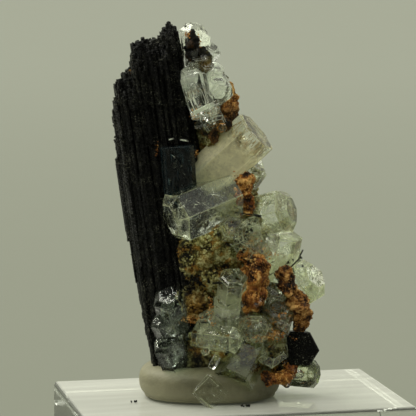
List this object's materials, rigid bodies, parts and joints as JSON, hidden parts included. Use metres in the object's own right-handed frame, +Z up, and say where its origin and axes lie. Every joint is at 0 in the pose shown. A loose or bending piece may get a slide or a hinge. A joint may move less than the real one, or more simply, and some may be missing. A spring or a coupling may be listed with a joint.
{
  "type": "aquamarine specimen",
  "caption": "Display specimen of clear aquamarine prisms and rusty matrix on a leaning black tourmaline column, set in putty on a clear slab.",
  "frame": {"origin": "middle of the slab's underside", "axes": "+Z up, +X along the slab's long side to the right of a viewer at -Y, who sees the aquamarines"},
  "size_m": [0.058, 0.036, 0.0781],
  "materials": {
    "acrylic": "clear polished acrylic",
    "putty": "matt grey-beige putty",
    "schorl": "glossy black, grooved lengthwise",
    "aquamarine": "clear, very pale green, partly milky",
    "matrix": "granular, olive to ochre",
    "rust": "matt crust, orange-brown"
  },
  "bodies": {
    "root": {"slab": "acrylic", "putty": "putty", "schorl_column": "schorl", "schorl_stub": "schorl", "aquamarine_top_cluster": "aquamarine", "aquamarine_middle_cluster": "aquamarine", "aquamarine_right_small": "aquamarine", "aquamarine_right_cluster": "aquamarine", "aquamarine_lower_cluster": "aquamarine", "aquamarine_left_foot": "aquamarine", "aquamarine_toe": "aquamarine", "aquamarine_chip": "aquamarine", "aquamarine_back_upper": "aquamarine", "aquamarine_back_lower": "aquamarine", "rust_top": "rust", "rust_upper": "rust", "rust_middle": "rust", "rust_heart": "rust", "rust_right": "rust", "rust_foot": "rust", "matrix": "matrix"}
  },
  "joints": []
}
